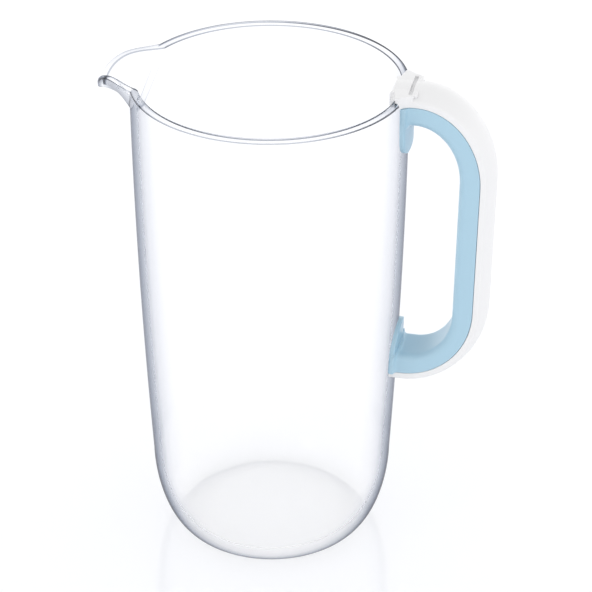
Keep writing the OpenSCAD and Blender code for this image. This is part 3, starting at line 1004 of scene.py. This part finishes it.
def add(owner, kind, settings=None, links=None, **inputs):
    """Adds one node to a material or a world, with its own settings, input values and links."""
    node = owner.node_tree.nodes.new(kind)
    for key, value in (settings or {}).items():
        setattr(node, key, value)
    for key, value in inputs.items():
        node.inputs[key.replace("_", " ")].default_value = value
    for key, source in (links or {}).items():
        owner.node_tree.links.new(source, node.inputs[key])
    return node


def dress(piece, material):
    """Gives a piece one material."""
    piece.data.materials.clear()
    piece.data.materials.append(material)
    print(piece.name, "is dressed in", material.name)


# %% [markdown]
# ## Clear moulded plastic
# The jug is styrene-acrylonitrile, injection moulded in a polished mould. The eye gets a sharp,
# colourless view through it, a thin gloss, and a dark blue-grey edge wherever it looks along the wall
# and sees dark surroundings refracted. The real refraction index is 1.57. With it the render traps
# light in the wall, and draws a grey disc and dark crescents that a jug in such wide light doesn't show.
# So the index is only 1.01, a thin coat with the real index gives the gloss, and the dark edge is painted
# shade in the base colour. Layer Weight says how far along the wall the eye looks, and the two
# attributes say where more painted shade is added.

# %% Clear styrene-acrylonitrile
# Painted shade: from clear white through blue-grey to near black where the eye looks along the wall.
EDGE_SHADE_RAMP = ((0.46, "FFFFFF"), (0.52, "F9F9FB"), (0.58, "EFF0F3"), (0.64, "E4E5EA"), (0.68, "D0D3D9"),
        (0.73, "BBC0C9"), (0.80, "9FA4AF"), (0.88, "7E838F"), (0.94, "60646E"), (1.0, "2B2C30"))
INNER_SHARE = 0.5        # how much of the painted edge shade the inner skin shows, where the outer shows 1

clear_san = new_material("clear_moulded_san")
facing = add(clear_san, "ShaderNodeLayerWeight", Blend=0.5)
skin = add(clear_san, "ShaderNodeAttribute", {"attribute_name": "outer_skin_and_foot_shade"})
painted_shade_mark = add(clear_san, "ShaderNodeAttribute", {"attribute_name": "added_painted_shade"})
share = add(clear_san, "ShaderNodeMapRange", {"clamp": False}, {"Value": skin.outputs["Fac"]},
            To_Min=INNER_SHARE, To_Max=1.0)
painted_shade_amount = add(clear_san, "ShaderNodeMath", {"operation": "MULTIPLY_ADD"},
                 {0: facing.outputs["Facing"], 1: share.outputs["Result"], 2: painted_shade_mark.outputs["Fac"]})
shade_ramp = add(clear_san, "ShaderNodeValToRGB", links={"Fac": painted_shade_amount.outputs["Value"]})
stops = shade_ramp.color_ramp.elements
stops[0].position = EDGE_SHADE_RAMP[0][0]
stops[1].position = EDGE_SHADE_RAMP[-1][0]
for position, _ in EDGE_SHADE_RAMP[1:-1]:
    stops.new(position)
for stop, (_, code) in zip(stops, EDGE_SHADE_RAMP):
    stop.color = linear(code)
# The ramp's painted shade goes into the base colour of the clear surface.
surface = add(clear_san, "ShaderNodeBsdfPrincipled", links={"Base Color": shade_ramp.outputs["Color"]},
              Roughness=0.0, IOR=1.01, Transmission_Weight=1.0, Coat_Weight=0.12,
              Coat_Roughness=0.0, Coat_IOR=1.57)
add(clear_san, "ShaderNodeOutputMaterial", links={"Surface": surface.outputs["BSDF"]})
dress(jug, clear_san)

# %% [markdown]
# ## The handle's plastics and the screws' steel
# The grip is polypropylene, injection moulded in a fine satin mould: an even pale blue with broad,
# soft highlights. The shell is ABS from a slightly duller mould, and off-white, because a pure
# white would lose its form against the pale ground. The screws are plain stainless steel, grey with
# a blurred shine. All three are one even colour, so each needs only its shader.

# %% Pale blue polypropylene, white ABS and plain steel
blue_pp = new_material("pale_blue_moulded_polypropylene")
surface = add(blue_pp, "ShaderNodeBsdfPrincipled", Base_Color=linear("A9CADC"), Roughness=0.32, IOR=1.49)
add(blue_pp, "ShaderNodeOutputMaterial", links={"Surface": surface.outputs["BSDF"]})

white_abs = new_material("white_moulded_abs")
surface = add(white_abs, "ShaderNodeBsdfPrincipled", Base_Color=linear("EAEAEB"), Roughness=0.35, IOR=1.53)
add(white_abs, "ShaderNodeOutputMaterial", links={"Surface": surface.outputs["BSDF"]})

steel = new_material("plain_stainless_steel")
surface = add(steel, "ShaderNodeBsdfPrincipled", Base_Color=linear("B9BBBE"), Roughness=0.3, Metallic=1.0)
add(steel, "ShaderNodeOutputMaterial", links={"Surface": surface.outputs["BSDF"]})

dress(grip, blue_pp)
dress(shell, white_abs)
dress(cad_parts["fixing_screws"], steel)

# %% [markdown]
# ## Floor and light
# The jug was photographed on a white, faintly glossy floor that is lit a little from below, inside
# one large dome of light. The dome is brightest low down, so the sides of the handle are lighter
# than its top. A small soft box at the left of the camera draws a light line along the handle's
# finger edges.

# %% Floor
FLOOR_SIZE = 8.0         # metres

deselect_all()
bpy.ops.mesh.primitive_plane_add(size=FLOOR_SIZE, location=(0, 0, 0))
floor = named("floor")
white_floor = new_material("white_acrylic_sheet")
surface = add(white_floor, "ShaderNodeBsdfPrincipled", Base_Color=linear("ACAEB4"), Roughness=0.12, IOR=1.7,
              Emission_Color=linear("FFFFFF"), Emission_Strength=0.54)
add(white_floor, "ShaderNodeOutputMaterial", links={"Surface": surface.outputs["BSDF"]})
dress(floor, white_floor)

# %% Dome
HORIZON = 1.5            # brightness low down
ZENITH = 0.75            # brightness overhead

world = bpy.data.worlds.new("studio")
bpy.context.scene.world = world
world.use_nodes = True
dome = world.node_tree.nodes["Background"]
dome.inputs["Color"].default_value = (1, 1, 1, 1)
direction = add(world, "ShaderNodeTexCoord")
axes = add(world, "ShaderNodeSeparateXYZ", links={"Vector": direction.outputs["Generated"]})
brightness = add(world, "ShaderNodeMapRange", links={"Value": axes.outputs["Z"]},
                 To_Min=HORIZON, To_Max=ZENITH)
world.node_tree.links.new(brightness.outputs["Result"], dome.inputs["Strength"])
bpy.context.scene.view_settings.view_transform = "Standard"
print("dome from", HORIZON, "at the horizon to", ZENITH, "overhead")

# %% Soft box
SOFT_BOX_PLACE = (-0.9, -1.4, 0.9)    # metres
SOFT_BOX_SIZE = 0.5
SOFT_BOX_WATTS = 1.5
SOFT_BOX_AIM = (0, 0, 0.15)

deselect_all()
bpy.ops.object.light_add(type="AREA", location=SOFT_BOX_PLACE)
soft_box = bpy.context.object
soft_box.name = "soft_box"
soft_box.data.size = SOFT_BOX_SIZE
soft_box.data.energy = SOFT_BOX_WATTS
soft_box.rotation_euler = (Vector(SOFT_BOX_AIM) - soft_box.location).to_track_quat("-Z", "Y").to_euler()
print("soft box", round((Vector(SOFT_BOX_AIM) - soft_box.location).length, 2), "m from the jug")
